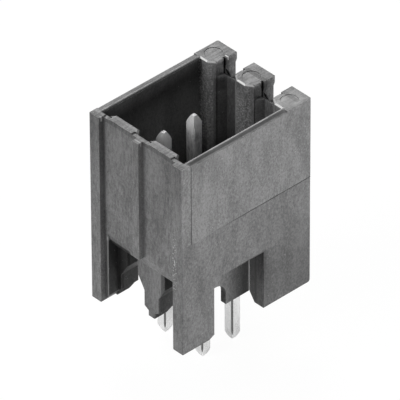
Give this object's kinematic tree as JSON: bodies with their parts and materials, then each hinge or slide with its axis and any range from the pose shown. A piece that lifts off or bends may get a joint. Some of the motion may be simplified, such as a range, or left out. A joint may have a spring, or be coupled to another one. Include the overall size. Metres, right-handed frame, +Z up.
{
  "type": "printed circuit board connector",
  "caption": "Upright through-hole pin header: an open-topped moulded housing with a grooved front wall, keyed posts along the rear wall, slotted feet and square tinned pins.",
  "frame": {"origin": "centre of the contact field, on the surface of the board that the feet stand on", "axes": "+X along the pitch, +Y from the grooved front wall towards the posts, +Z up, away from the board"},
  "size_m": [0.0086, 0.0112, 0.0183],
  "materials": {
    "moulding": "satin glass-filled moulding with faint flow mottling",
    "pin_metal": "bright tin plate on copper alloy"
  },
  "bodies": {
    "root": {"housing": "moulding", "contact_pin_1": "pin_metal", "contact_pin_2": "pin_metal", "contact_pin_3": "pin_metal", "contact_pin_4": "pin_metal"}
  },
  "joints": []
}
